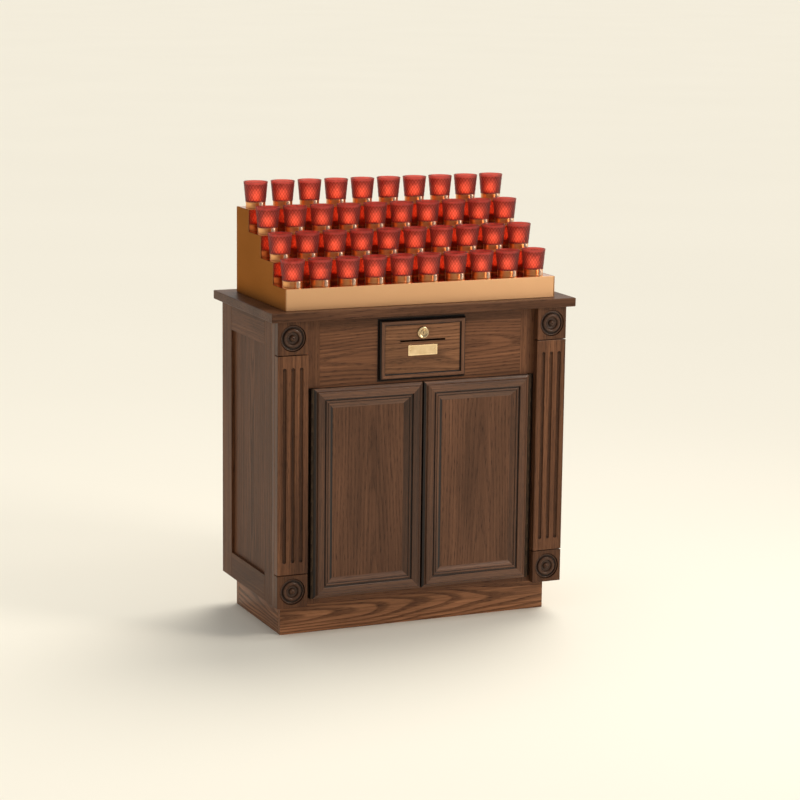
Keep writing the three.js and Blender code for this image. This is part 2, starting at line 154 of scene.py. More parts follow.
class Shader:
    """A material with one Principled shader, and short calls for the nodes that feed it."""

    def __init__(self, name, **values):
        self.material = bpy.data.materials.new(name)
        self.material.use_nodes = True
        self.nodes = self.material.node_tree.nodes
        self.links = self.material.node_tree.links
        self.shader = self.nodes["Principled BSDF"]
        for key, value in values.items():
            self.set(key, value)

    def set(self, key, value):
        label = {
            "coat": "Coat Weight", "coat_roughness": "Coat Roughness", "color": "Base Color", "ior": "IOR",
            "transmission": "Transmission Weight", "emission": "Emission Color",
            "emission_strength": "Emission Strength", "specular": "Specular IOR Level",
            "specular_tint": "Specular Tint",
        }.get(key, key.capitalize())
        if isinstance(value, tuple):
            value = (*value, 1)
        self.shader.inputs[label].default_value = value

    def node(self, kind, **inputs):
        node = self.nodes.new("ShaderNode" + kind)
        for key, value in inputs.items():
            self.feed(node, int(key[1:]) if key[0] == "i" and key[1:].isdigit() else key, value)
        return node

    def feed(self, node, key, value):
        if isinstance(value, bpy.types.NodeSocket):
            self.links.new(value, node.inputs[key])
        else:
            node.inputs[key].default_value = value

    def coordinates(self, scale, offset=(0, 0, 0)):
        place = self.node("TexCoord").outputs["Object"]
        return self.node("Mapping", Vector=place, Scale=scale, Location=offset).outputs["Vector"]

    def noise(self, vector, detail=2.0, rough=0.5, scale=1.0, distortion=0.0):
        return self.node("TexNoise", Vector=vector, Scale=scale, Detail=detail, Roughness=rough,
                         Distortion=distortion).outputs["Fac"]

    def math(self, operation, a, b=0.0, clamp=False):
        node = self.node("Math", i0=a, i1=b)
        node.operation = operation
        node.use_clamp = clamp
        return node.outputs[0]

    def line(self, value, slope, start):
        """value * slope + start"""
        return self.math("ADD", self.math("MULTIPLY", value, slope), start)

    def ramp(self, value, stops):
        node = self.node("ValToRGB", Fac=value)
        elements = node.color_ramp.elements
        while len(elements) < len(stops):
            elements.new(0.5)
        for element, (place, color) in zip(elements, stops):
            element.position = place
            element.color = (*color, 1) if isinstance(color, tuple) else (color, color, color, 1)
        return node.outputs["Color"]

    def mix(self, fac, a, b, blend="MIX"):
        node = self.nodes.new("ShaderNodeMix")
        node.data_type = "RGBA"
        node.blend_type = blend
        for index, value in ((0, fac), (6, a), (7, b)):
            self.feed(node, index, (*value, 1) if isinstance(value, tuple) else value)
        return node.outputs[2]

    def color(self, socket):
        self.links.new(socket, self.shader.inputs["Base Color"])

    def roughness(self, socket):
        self.links.new(socket, self.shader.inputs["Roughness"])

    def corner_shade(self, depth):
        """1 on open surfaces, falling to 0 in the piece's own corners and grooves by ambient occlusion: the
        mask for painted shade.
        """
        node = self.node("AmbientOcclusion", Distance=depth)
        node.only_local = True
        node.samples = 8
        return self.ramp(node.outputs["AO"], [(0.52, 0.0), (0.96, 1.0)])

    def bump(self, height, distance, strength=1.0):
        node = self.node("Bump", Height=height, Distance=distance, Strength=strength)
        self.links.new(node.outputs["Normal"], self.shader.inputs["Normal"])


# the pores' colour, and also the colour of the painted shade in corners, grooves and the listed boxes
OAK_PORE_AND_SHADE = (0.012, 0.006, 0.004)
OAK_DARK = (0.040, 0.0155, 0.0075)
OAK_MIDDLE = (0.118, 0.0490, 0.0235)
OAK_LIGHT = (0.214, 0.092, 0.043)
# how far the painted corner shade looks for the piece's own surfaces
CORNER_SHADE_DEPTH = 10 * MM
RING = 4.2 * MM                  # one year's growth in a board cut far from the heart
WIDE_RING = 8.5 * MM             # and in one cut near it
GRAIN_LEAN = 0.055               # how far the log's heart leans in the board, per metre along it
board_count = 0


def oak(name, along, wide, center, tone=1.0, cathedral=0.0, gloss=0.6, painted_shade_boxes=(), figure=1.0):
    """Stained open-pored oak. The grain follows axis `along`, 0 to 2, and `wide` is the axis across the
    board's face. Each call is another board, cut near the heart of its log for cathedrals of the given
    strength, or far from it. `tone` multiplies the stain, by channel if it has three numbers. A list of
    (axis, from, to) boxes gives the parts painted dark as shade; the board's own corners and grooves are
    painted dark as shade too. `figure` is the strength of the streaks."""
    global board_count
    board_count += 1
    deep = 3 - along - wide
    shift = (board_count * 3.37, board_count * 1.91, board_count * 2.63)
    turn = (board_count * 0.618) % 1

    def stretched(across, lengthwise):
        scale = [across] * 3
        scale[along] = lengthwise
        return tuple(scale)

    def stained(color):
        return tuple(c * t for c, t in zip(color, tone if isinstance(tone, tuple) else (tone,) * 3))

    shade = Shader(name, coat=0.22 * gloss, coat_roughness=0.2, specular=0.15 * gloss)
    place = shade.node("SeparateXYZ", Vector=shade.node("TexCoord").outputs["Object"]).outputs
    wander = shade.noise(shade.coordinates(stretched(9, 1.6), shift), detail=2)
    sway = shade.math("MULTIPLY", shade.math("SUBTRACT", wander, 0.5), 0.045 if cathedral else 0.012)
    off_wide = (turn - 0.5) * 0.05 if cathedral else 0.20 + 0.1 * turn
    off_deep = 0.040 if cathedral else 0.10
    lean = GRAIN_LEAN if turn > 0.5 else -GRAIN_LEAN
    u = shade.math("SUBTRACT", place[wide], center[wide] + off_wide)
    w = shade.math("MULTIPLY", shade.math("SUBTRACT", place[along], center[along]), lean)
    v = shade.math("ADD", shade.math("SUBTRACT", place[deep], center[deep] - off_deep), w)
    squares = [shade.math("MULTIPLY", side, side) for side in (u, v)]
    radius = shade.math("SQRT", shade.math("ADD", *squares))
    year = WIDE_RING if cathedral else RING
    ring = shade.math("FRACT", shade.math("DIVIDE", shade.math("ADD", radius, sway), year))

    early = shade.ramp(ring, [(0.0, 1.0), (0.30, 0.75), (0.45, 0.10), (0.9, 0.0), (1.0, 0.9)])
    streak = shade.noise(shade.coordinates(stretched(150, 2.2), shift), detail=2, rough=0.6)
    fibre = shade.noise(shade.coordinates(stretched(620, 9), shift), detail=2, rough=0.6)
    cloud = shade.noise(shade.coordinates(stretched(11, 2.0), shift), detail=2)
    pore = shade.ramp(shade.noise(shade.coordinates(stretched(900, 42), shift)), [(0.52, 0.0), (0.64, 1.0)])
    blend = shade.math("ADD", shade.math("MULTIPLY", streak, 0.55), shade.math("MULTIPLY", fibre, 0.45))
    dark, light = (tuple(m + (c - m) * figure for c, m in zip(color, OAK_MIDDLE))
                   for color in (OAK_DARK, OAK_LIGHT))
    wood = shade.ramp(blend, [(0.22, stained(dark)), (0.50, stained(OAK_MIDDLE)), (0.82, stained(light))])
    banded = shade.mix(shade.math("MULTIPLY", early, cathedral or 0.2), wood, stained(OAK_DARK))
    porous = shade.line(early, 0.8, 0.2)
    pits = shade.math("MULTIPLY", pore, porous, clamp=True)
    pitted = shade.mix(shade.math("MULTIPLY", pits, 0.75), banded, OAK_PORE_AND_SHADE)
    cloudy = shade.mix(1.0, pitted, shade.ramp(cloud, [(0.3, 0.74), (0.7, 1.24)]), "MULTIPLY")
    # painted shade: the colour goes dark in the board's own corners and grooves by ambient occlusion, and in
    # the listed boxes
    unshaded = shade.corner_shade(CORNER_SHADE_DEPTH)
    if painted_shade_boxes:
        in_shade_box = 1.0
        for axis, start, end in painted_shade_boxes:
            in_shade_box = shade.math("MULTIPLY", in_shade_box, shade.math("GREATER_THAN", place[axis], start))
            in_shade_box = shade.math("MULTIPLY", in_shade_box, shade.math("LESS_THAN", place[axis], end))
        unshaded = shade.math("MULTIPLY", unshaded, shade.math("SUBTRACT", 1.0, in_shade_box))
    shade.color(shade.mix(unshaded, OAK_PORE_AND_SHADE, cloudy))
    shade.roughness(shade.line(fibre, 0.16, 0.32))
    shade.bump(shade.math("SUBTRACT", shade.math("MULTIPLY", fibre, 0.3), pits), 0.0003, 0.6)
    return shade.material


def inside_board(name, along=2):
    shade = Shader(name, roughness=0.7)
    scale = [90] * 3
    scale[along] = 2.5
    grain = shade.noise(shade.coordinates(tuple(scale)), detail=3)
    shade.color(shade.ramp(grain, [(0.3, (0.10, 0.05, 0.025)), (0.7, (0.17, 0.09, 0.05))]))
    shade.bump(grain, 0.0002)
    return shade.material


def brushed_brass(name, low, high, metallic, edge=(1.0, 1.0, 1.0)):
    """Satin brass-coloured sheet, with a faint level grain and slow changes of tone from low to high."""
    shade = Shader(name, metallic=metallic, specular=0.2, specular_tint=edge)
    hair = shade.noise(shade.coordinates((14, 14, 1500)), detail=2)
    cloud = shade.noise(shade.coordinates((4, 4, 6)), detail=2)
    shade.color(shade.ramp(cloud, [(0.3, low), (0.7, high)]))
    shade.roughness(shade.line(hair, 0.14, 0.40))
    shade.bump(hair, 0.00005, 0.4)
    return shade.material


def mirror_sheet():
    shade = Shader("mirror_sheet", metallic=1.0)
    cloud = shade.noise(shade.coordinates((9, 9, 9)), detail=3)
    shade.color(shade.ramp(cloud, [(0.3, (0.60, 0.28, 0.18)), (0.7, (0.70, 0.34, 0.22))]))
    shade.roughness(shade.line(cloud, 0.10, 0.10))
    return shade.material


def polished_brass(name, roughness=0.16, tone=1.0):
    shade = Shader(name, metallic=1.0)
    cloud = shade.noise(shade.coordinates((60, 60, 60)), detail=3)
    shade.color(shade.ramp(cloud, [(0.3, tuple(c * tone for c in (0.78, 0.56, 0.31))),
                                   (0.7, tuple(c * tone for c in (0.90, 0.68, 0.41)))]))
    shade.roughness(shade.line(cloud, 0.1, roughness - 0.05))
    return shade.material


def holder_copper():
    """The lamp holders' satin coppery brass."""
    shade = Shader("holder_copper", metallic=1.0)
    cloud = shade.noise(shade.coordinates((80, 80, 80)), detail=3)
    shade.color(shade.ramp(cloud, [(0.3, (0.84, 0.40, 0.155)), (0.7, (0.94, 0.47, 0.20))]))
    shade.roughness(shade.line(cloud, 0.1, 0.28))
    return shade.material


def dark_bronze():
    shade = Shader("dark_bronze", metallic=0.9)
    wear = shade.noise(shade.coordinates((160, 160, 40)), detail=4)
    shade.color(shade.ramp(wear, [(0.35, (0.030, 0.020, 0.014)), (0.75, (0.085, 0.052, 0.030))]))
    shade.roughness(shade.line(wear, 0.2, 0.35))
    return shade.material


def bright_button():
    shade = Shader("bright_button", metallic=0.6)
    cloud = shade.noise(shade.coordinates((200, 200, 200)), detail=2)
    shade.color(shade.ramp(cloud, [(0.3, (0.60, 0.38, 0.26)), (0.7, (0.70, 0.47, 0.34))]))
    shade.roughness(shade.line(cloud, 0.08, 0.18))
    return shade.material


def ruby_glass(height):
    """Frosted red glass with a polished face. Its colour is deeper where one looks along the wall, painted
    darker in the grooves of the pressed diamonds as shade, and painted lighter in the plain band at the
    rim as light caught there. The glass also has a faint painted red glow."""
    # painted glow: a faint red emission of the glass itself, besides the lamp inside
    shade = Shader("ruby_glass", transmission=1.0, ior=1.5, emission=(0.45, 0.012, 0.006),
                   emission_strength=0.05, specular=0.2, coat=0.2, coat_roughness=0.12)
    place = shade.node("SeparateXYZ", Vector=shade.node("TexCoord").outputs["Object"]).outputs
    across = shade.math("MULTIPLY", shade.math("ARCTAN2", place[1], place[0]), GLASS_DIAMONDS / 2)
    up = shade.math("MULTIPLY", place[2], math.pi * GLASS_ROWS / 2 / height)
    leaning = [shade.math("ABSOLUTE", shade.math("SINE", shade.math(way, across, up)))
               for way in ("ADD", "SUBTRACT")]
    facet = shade.math("MULTIPLY", *leaning)
    # painted shade: the glass is darker along the diamonds' grooves
    groove_shaded_diamonds = shade.ramp(facet, [(0.0, (0.26, 0.026, 0.017)), (0.55, (0.54, 0.102, 0.067))])
    level = shade.math("DIVIDE", place[2], height)
    plain = shade.ramp(level, [(GLASS_PLAIN_RIM, 0.0), (GLASS_PLAIN_RIM + 0.05, 1.0)])
    # painted light: the plain band at the rim is a lighter red, for light caught on the rim
    tint = shade.mix(plain, groove_shaded_diamonds, (0.80, 0.175, 0.135))
    grazing = shade.ramp(shade.node("LayerWeight", Blend=0.5).outputs["Facing"], [(0.15, 0.0), (0.75, 0.8)])
    shade.color(shade.mix(grazing, tint, (0.12, 0.012, 0.009)))
    cloud = shade.noise(shade.coordinates((70, 70, 70)), detail=2)
    shade.roughness(shade.line(cloud, 0.10, 0.80))
    return shade.material


def lamp_glow():
    shade = Shader("lamp_glow", roughness=0.3, emission_strength=5.0)
    cloud = shade.noise(shade.coordinates((120, 120, 60)), detail=2)
    warm = shade.ramp(cloud, [(0.3, (1.0, 0.72, 0.44)), (0.7, (1.0, 0.84, 0.56))])
    shade.color(warm)
    shade.links.new(warm, shade.shader.inputs["Emission Color"])
    return shade.material


# ---------------------------------------------------------------- mesh helpers

def mesh_piece(name, points, faces, material, smooth=False):
    mesh = bpy.data.meshes.new(name)
    mesh.from_pydata([tuple(p) for p in points], [], faces)
    return object_of(name, mesh, material, smooth)


def object_of(name, mesh, material, smooth=False):
    mesh.materials.clear()
    mesh.materials.append(material)
    for face in mesh.polygons:
        face.use_smooth = smooth
    piece = bpy.data.objects.new(name, mesh)
    bpy.context.collection.objects.link(piece)
    return piece


def settled(piece, body, stands_for=()):
    """The piece rides on a body, and may stand for CAD nodes, which it hides."""
    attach(piece, body)
    if stands_for:
        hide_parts(*stands_for)
    return piece


def outward(bm):
    bmesh.ops.recalc_face_normals(bm, faces=bm.faces)


def board(name, low, high, material, round_edge=0.8 * MM, segments=2):
    """A block between two corners, with every edge eased."""
    low, high = Vector(low), Vector(high)
    bm = bmesh.new()
    bmesh.ops.create_cube(bm, size=1)
    for vertex in bm.verts:
        vertex.co = [(low[i] + high[i]) / 2 + vertex.co[i] * (high[i] - low[i]) for i in range(3)]
    if round_edge:
        bmesh.ops.bevel(bm, geom=bm.edges[:], offset=round_edge, segments=segments, profile=0.5,
                        affect="EDGES")
    outward(bm)
    mesh = bpy.data.meshes.new(name)
    bm.to_mesh(mesh)
    bm.free()
    return object_of(name, mesh, material)


def prism(name, near, far, material, smooth=False):
    """A solid between two outlines with the same number of points."""
    count = len(near)
    faces = [tuple(range(count)), tuple(range(2 * count - 1, count - 1, -1))]
    faces += [(i, (i + 1) % count, count + (i + 1) % count, count + i) for i in range(count)]
    piece = mesh_piece(name, [*near, *far], faces, material, smooth)
    bm = bmesh.new()
    bm.from_mesh(piece.data)
    outward(bm)
    bm.to_mesh(piece.data)
    bm.free()
    return piece


def in_mm(points):
    return [(a * MM, b * MM) for a, b in points]


def middle_of(low, high):
    return (Vector(low) + Vector(high)) / 2


def mitred_frame(name, low, high, front, profile, finishes_and_shade, painted_shade_to):
    """Four mitred members round the rectangle from low (x, z) to high (x, z). profile is a closed list of
    (inset from the rectangle, depth behind front), and each member has its (tone, gloss, painted shade from):
    its edge is painted dark as shade from that depth back to the depth in the last argument."""
    (x0, z0), (x1, z1) = low, high
    corners = {
        "left": lambda i: ((x0 + i, z0 + i), (x0 + i, z1 - i)),
        "right": lambda i: ((x1 - i, z0 + i), (x1 - i, z1 - i)),
        "bottom": lambda i: ((x0 + i, z0 + i), (x1 - i, z0 + i)),
        "top": lambda i: ((x0 + i, z1 - i), (x1 - i, z1 - i)),
    }
    members = []
    for (side, ends), (tone, gloss, painted_shade_from) in zip(corners.items(), finishes_and_shade):
        near = [(*ends(i)[0], front + d) for i, d in profile]
        far = [(*ends(i)[1], front + d) for i, d in profile]
        near, far = ([(x, y, z) for x, z, y in outline] for outline in (near, far))
        along, wide = (0, 2) if side in ("bottom", "top") else (2, 0)
        wood = oak(f"{name}_{side}_oak", along, wide, middle_of(near[0], far[0]), tone, gloss=gloss,
                   painted_shade_boxes=[(1, front + painted_shade_from * MM, front + painted_shade_to * MM)])
        members.append(prism(f"{name}_{side}", near, far, wood))
    return members


def turned_points(outline, segments, twist=None):
    """Points and faces of a [radius, height] outline turned about Z. twist changes a point's radius."""
    points, rows = [], []
    for radius, height in outline:
        if radius < 1e-7:
            rows.append([len(points)])
            points.append((0, 0, height))
            continue
        row = []
        for k in range(segments):
            angle = 2 * math.pi * k / segments
            r = twist(radius, height, angle) if twist else radius
            row.append(len(points))
            points.append((r * math.cos(angle), r * math.sin(angle), height))
        rows.append(row)
    faces = []
    for lower, upper in zip(rows, rows[1:]):
        for k in range(segments):
            following = (k + 1) % segments
            if len(lower) == 1:
                faces.append((lower[0], upper[following], upper[k]))
            elif len(upper) == 1:
                faces.append((lower[k], lower[following], upper[0]))
            else:
                faces.append((lower[k], lower[following], upper[following], upper[k]))
    return points, faces


def turned_mesh(name, outline, segments=32, smooth=True, sharp=35):
    """A mesh turned about Z from its own origin, with crisp edges where the outline turns sharply."""
    points, faces = turned_points(outline, segments)
    mesh = bpy.data.meshes.new(name)
    mesh.from_pydata(points, [], faces)
    bm = bmesh.new()
    bm.from_mesh(mesh)
    bmesh.ops.remove_doubles(bm, verts=bm.verts, dist=1e-7)
    outward(bm)
    for edge in bm.edges:
        edge.smooth = len(edge.link_faces) == 2 and edge.calc_face_angle() < math.radians(sharp)
    for face in bm.faces:
        face.smooth = smooth
    bm.to_mesh(mesh)
    bm.free()
    return mesh


def placed(name, mesh, material, place, turn=None):
    """An object of a mesh made about its own origin, moved to its place. Copies share the mesh."""
    if not mesh.materials:
        mesh.materials.append(material)
    piece = bpy.data.objects.new(name, mesh)
    piece.matrix_world = Matrix.Translation(place) @ (turn or Matrix())
    bpy.context.collection.objects.link(piece)
    return piece


FACING = Matrix.Rotation(math.pi / 2, 4, "X")     # turns a shape's +Z to -Y, towards the front


def cut_from(piece, cutters):
    """Takes the cutters' shapes out of the piece, and removes the cutters."""
    for cutter in cutters:
        modifier = piece.modifiers.new("cut", "BOOLEAN")
        modifier.object = cutter
        modifier.operation = "DIFFERENCE"
        modifier.solver = "EXACT"
    bpy.context.view_layer.update()
    result = bpy.data.meshes.new_from_object(piece.evaluated_get(bpy.context.evaluated_depsgraph_get()))
    piece.modifiers.clear()
    piece.data = result
    for cutter in cutters:
        bpy.data.objects.remove(cutter)
    return piece


def arc(center, radius, start, end, steps):
    """Points (a, b) on an arc, from start to end in degrees."""
    angles = [math.radians(start + (end - start) * k / steps) for k in range(steps + 1)]
    return [(center[0] + radius * math.cos(a), center[1] + radius * math.sin(a)) for a in angles]


# ---------------------------------------------------------------- cabinet

def make_plinth():
    low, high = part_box("plinth")
    thick = 18 * MM
    parts = {
        "plinth_front": (low, (high[0], low[1] + thick, high[2]), 0),
        "plinth_back": ((low[0], high[1] - thick, low[2]), high, 0),
    }
    for side, x0, x1 in (("left", low[0], low[0] + thick), ("right", high[0] - thick, high[0])):
        parts[f"plinth_{side}"] = (
            (x0, low[1] + thick, low[2]), (x1, high[1] - thick, high[2]), 1)
    for name, (a, b, along) in parts.items():
        wood = oak(f"{name}_oak", along, 2, middle_of(a, b), (2.7, 2.85, 2.85), cathedral=0.75)
        piece = board(name + "_board", a, b, wood)
        settled(piece, CABINET, ["plinth"] if name == "plinth_front" else ())


def make_counter():
    low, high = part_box("counter_top")
    wood = oak("counter_oak", 0, 1, middle_of(low, high), (0.94, 1.0, 1.12), gloss=0.4)
    slab = board("counter_slab", low, high, wood, 3 * MM, 3)
    settled(slab, CABINET, ["counter_top"])


def make_side(name, outer, inner):
    """A frame-and-panel side. outer is its outer face's X, inner its inner face's."""
    low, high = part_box(name)
    stile = 76 * MM
    joint = frame_front + stile
    panel_bottom, panel_top = 164 * MM, 812 * MM
    recess = 8 * MM if outer > inner else -8 * MM
    back_joint = high[1] - stile

    def member(part, y0, y1, z0, z1, along, face=outer, cathedral=0.0):
        x0, x1 = sorted((face, inner))
        ends = (x0, y0, z0), (x1, y1, z1)
        wood = oak(f"{name}_{part}_oak", along, 3 - along, middle_of(*ends), 1.15, cathedral, 0.3)
        return board(f"{name}_{part}", *ends, wood)

    pieces = [
        member("front_stile", low[1], joint, low[2], high[2], 2),
        member("back_stile", back_joint, high[1], low[2], high[2], 2),
        member("top_rail", joint, back_joint, panel_top, high[2], 1),
        member("bottom_rail", joint, back_joint, low[2], panel_bottom, 1),
        member("panel", joint, back_joint, panel_bottom, panel_top, 2, outer - recess, 0.5),
    ]
    for index, piece in enumerate(pieces):
        settled(piece, CABINET, [name] if index == 0 else ())


def make_face_frame():
    low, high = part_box("face_frame")
    front, back = low[1], low[1] + 20 * MM
    top = high[2]
    doorway = 304 * MM
    opening = 112 * MM
    doorway_bottom, doorway_top = 125 * MM, 681 * MM
    sill, lintel = 724 * MM, 858 * MM

    door_bottom, door_top = (corner[2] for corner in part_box("door_left"))
    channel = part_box("pilaster_left")[1][0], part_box("pilaster_right")[0][0]
    drawer_low, drawer_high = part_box("drawer_front")
    # painted shade round the drawer's front, on the frame members beside it
    drawer_shade_boxes = [(0, drawer_low[0] - 5 * MM, drawer_high[0] + 1 * MM),
            (2, drawer_low[2] - 4 * MM, drawer_high[2] + 5 * MM)]

    def member(name, x0, x1, z0, z1, along, tone=1.42, cathedral=0.0, painted_shade_boxes=()):
        ends = (x0, front, z0), (x1, back, z1)
        wood = oak(f"frame_{name}_oak", along, 2 - along, middle_of(*ends), tone, cathedral, painted_shade_boxes=painted_shade_boxes)
        return board(f"frame_{name}", *ends, wood, 0.5 * MM)

    pieces = [
        # painted shade: the stiles are dark in the channel between the pilasters and the doors, over the
        # doors' height
        member("stile_left", low[0], -doorway, low[2], top, 2,
               painted_shade_boxes=[(0, *channel), (2, door_bottom, door_top)]),
        member("stile_right", doorway, high[0], low[2], top, 2,
               painted_shade_boxes=[(0, *channel), (2, door_bottom, door_top)]),
        member("bottom_rail", -doorway, doorway, low[2], doorway_bottom, 0),
        member("top_rail", -doorway, doorway, lintel, top, 0, 1.1, painted_shade_boxes=drawer_shade_boxes),
        member("apron_left", -doorway, -opening, doorway_top, lintel, 0, 1.45, 0.45, drawer_shade_boxes),
        member("apron_right", opening, doorway, doorway_top, lintel, 0, 1.48, 0.45, drawer_shade_boxes),
        member("apron_under", -opening, opening, doorway_top, sill, 0, painted_shade_boxes=drawer_shade_boxes),
    ]
    for side in (-1, 1):
        x0, x1 = sorted((side * opening, side * (opening - 30 * MM)))
        runner = board(f"drawer_runner_{'left' if side < 0 else 'right'}", (x0, back, sill - 20 * MM),
                       (x1, high[1], sill), plain_board)
        settled(runner, CABINET)
    for index, piece in enumerate(pieces):
        settled(piece, CABINET, ["face_frame"] if index == 0 else ())


def rosette_mesh():
    """A bull's-eye: a button in the middle, a cove, a round ring and an outer fillet."""
    rise = 5 * MM
    outline = [(0, rise)]
    outline += [(r, z) for r, z in arc((0, rise - 5 * MM), 9 * MM, 90, 34, 6)][1:]
    outline += [(9.5 * MM, 0.4 * MM), (13 * MM, 0.2 * MM), (16 * MM, 0.8 * MM)]
    outline += arc((22 * MM, 1.2 * MM), 5 * MM, 170, 10, 8)
    outline += [(28 * MM, 0.4 * MM), (30.5 * MM, 0.2 * MM)]
    outline += arc((33.5 * MM, 0.8 * MM), 2.8 * MM, 165, 15, 5)
    outline += [(36.8 * MM, 0), (36.8 * MM, -1.5 * MM), (0, -1.5 * MM)]
    return turned_mesh("rosette", outline, 48)


def make_pilaster(name):
    low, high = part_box(name)
    middle = (low[0] + high[0]) / 2
    block = 92 * MM
    width, depth = 11 * MM, 5 * MM
    radius = (width ** 2 / 4 + depth ** 2) / (2 * depth)
    margin = 35 * MM
    wood = oak(f"{name}_shaft_oak", 2, 0, middle_of(low, high), 1.15, figure=1.3)
    seam = 2.2 * MM
    foot, head = low[2] + block, high[2] - block
    shaft = board(f"{name}_shaft", (low[0], low[1], foot + seam), (high[0], high[1], head - seam), wood,
                  1.2 * MM)
    cutters = []
    bottom, top = foot + margin + width / 2, head - margin - width / 2
    for place in (-1, 0, 1):
        outline = [(0, bottom - radius), *arc((0, bottom), radius, -90, 0, 8)[1:],
                   *arc((0, top), radius, 0, 90, 8)[:-1], (0, top + radius)]
        tool = turned_mesh("flute_tool", outline, 32)
        axis = middle + place * 24.5 * MM, low[1] - radius + depth, 0
        cutters.append(placed("flute_tool", tool, plain_board, axis))
    pieces = [cut_from(shaft, cutters)]
    well_outline = [(0, -7 * MM), (37 * MM, -7 * MM), (37 * MM, 9 * MM), (0, 9 * MM)]
    for end, z0 in (("foot", low[2]), ("head", head)):
        middle_z = z0 + block / 2
        center = (middle, low[1], middle_z)
        blank = board(f"{name}_{end}", (low[0], low[1], z0), (high[0], high[1], z0 + block),
                      oak(f"{name}_{end}_oak", 2, 0, center), 1.6 * MM)
        well = turned_mesh("rosette_well", well_outline, 48)
        cutter = placed("rosette_well", well, plain_board, center, FACING)
        pieces.append(cut_from(blank, [cutter]))
        wood = oak(f"{name}_{end}_rosette_oak", 2, 0, center, 0.66, gloss=1.2)
        sunk = middle, low[1] + 6.2 * MM, middle_z
        disc = placed(f"{name}_{end}_rosette", rosette_mesh(), wood, sunk, FACING)
        pieces.append(disc)
    for index, piece in enumerate(pieces):
        settled(piece, CABINET, [name] if index == 0 else ())


# ---------------------------------------------------------------- doors

DOOR_PROFILE = [
    (0, 22), (0, 9.5), (0.8, 8.4), (3.0, 7.7), (6.0, 6.6), (8.4, 4.9), (9.8, 2.6), (10.6, 1.0), (11.6, 0.2),
    (12.6, 0), (28.0, 0), (29.2, 0.3), (30.0, 1.1), (30.4, 2.4), (30.9, 4.8), (33.4, 5.0), (34.0, 3.6),
    (35.0, 2.7), (36.8, 2.3), (38.6, 2.7), (39.6, 3.6), (40.1, 4.9), (41.2, 4.9), (41.9, 4.1), (43.6, 4.3),
    (47.6, 5.9), (52.0, 7.9), (55.4, 9.0), (57.0, 9.2), (57.0, 13.0), (50.0, 13.0), (50.0, 22),
]

DOOR_EDGE_SHADE_BACK = 21.6           # how deep the painted shade goes on a door's edges
DOOR_FINISH_AND_SHADE = {                # (tone, gloss, painted shade from) of left, right, bottom and top
    "door_left": ((0.80, 1.25, 6.4), (0.57, 1.25, 9.3), (1.10, 1.8, 9.3), (1.08, 1.8, 9.3)),
    "door_right": ((0.92, 1.25, 6.4), (1.07, 1.25, 9.3), (1.10, 1.8, 9.3), (1.02, 1.8, 9.3)),
}


def make_door(name):
    low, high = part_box(name)
    profile = in_mm(DOOR_PROFILE)
    members = mitred_frame(f"{name}_frame", (low[0], low[2]), (high[0], high[2]), low[1], profile,
                           DOOR_FINISH_AND_SHADE[name], DOOR_EDGE_SHADE_BACK)
    inset = 56 * MM
    ends = [(low[0] + inset, low[1] + 9 * MM, low[2] + inset),
            (high[0] - inset, low[1] + 13 * MM, high[2] - inset)]
    wood = oak(f"{name}_panel_oak", 2, 0, middle_of(*ends), (1.14, 1.24, 1.42), cathedral=0.2, figure=0.6)
    panel = board(f"{name}_panel", *ends, wood, 0.3 * MM)
    for index, piece in enumerate([*members, panel]):
        settled(piece, name, [name] if index == 0 else ())


def make_hinge(name, door):
    """A continuous hinge: knuckles in turn on the frame's leaf and the door's leaf, on one pin."""
    low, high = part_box(name)
    door_low, door_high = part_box(door)
    side = -1 if name.endswith("left") else 1
    door_edge = door_low[0] if side < 0 else door_high[0]
    pin = door_edge + side * 5 * MM
    middle = (door_low[1] + door_high[1]) / 2
    radius = 3.5 * MM
    knuckles = 15
    pitch = (high[2] - low[2]) / knuckles
    leaf = 1.4 * MM
    for index in range(knuckles):
        start = low[2] + index * pitch
        gap = 0.3 * MM
        tube = turned_mesh("knuckle", [
            (0, gap), (radius - gap, gap), (radius, 2 * gap), (radius, pitch - 2 * gap),
            (radius - gap, pitch - gap), (0, pitch - gap)], 20)
        fixed = index % 2 == 0
        owner = name if fixed else f"{door}_hinge"
        knuckle = placed(f"{owner}_knuckle_{index + 1:02d}", tube, bronze, (pin, middle, start))
        settled(knuckle, CABINET if fixed else door, [name] if index == 0 else ())

    def outer(distance):
        return pin + side * distance

    x0, x1 = sorted((outer(radius - leaf), outer(radius)))
    back = high[1]
    web = board(f"{name}_web", (x0, middle, low[2]), (x1, back, high[2]), bronze, 0.2 * MM)
    x0, x1 = sorted((outer(radius - leaf), outer(11 * MM)))
    flange = board(f"{name}_leaf", (x0, back - leaf, low[2]), (x1, back, high[2]), bronze, 0.2 * MM)
    x0, x1 = sorted((outer(-1.5 * MM), outer(-4.6 * MM)))
    inner = board(f"{door}_hinge_leaf", (x0, middle - radius, low[2]), (x1, middle - radius + leaf, high[2]),
                  bronze, 0.2 * MM)
    settled(web, CABINET)
    settled(flange, CABINET)
    settled(inner, door)


# ---------------------------------------------------------------- offering drawer

LIP_PROFILE = [
    (0, 12), (0, 5.0), (1.2, 3.4), (2.6, 2.6), (3.0, 1.6), (4.2, 0.5), (6.0, 0), (11.0, 0), (12.2, 0.3),
    (13.0, 1.2), (13.6, 5.6), (14.2, 6.2), (16.0, 6.2), (16.0, 12),
]
# how deep the painted shade goes on the drawer lip's edges; the finish is (tone, gloss, painted shade from)
LIP_EDGE_SHADE_BACK = 11.6
LIP_FINISH_AND_SHADE = (1.4, 1.2, 1.3)
FIELD_DEPTH = 6 * MM
LOCK_TONE = 0.66


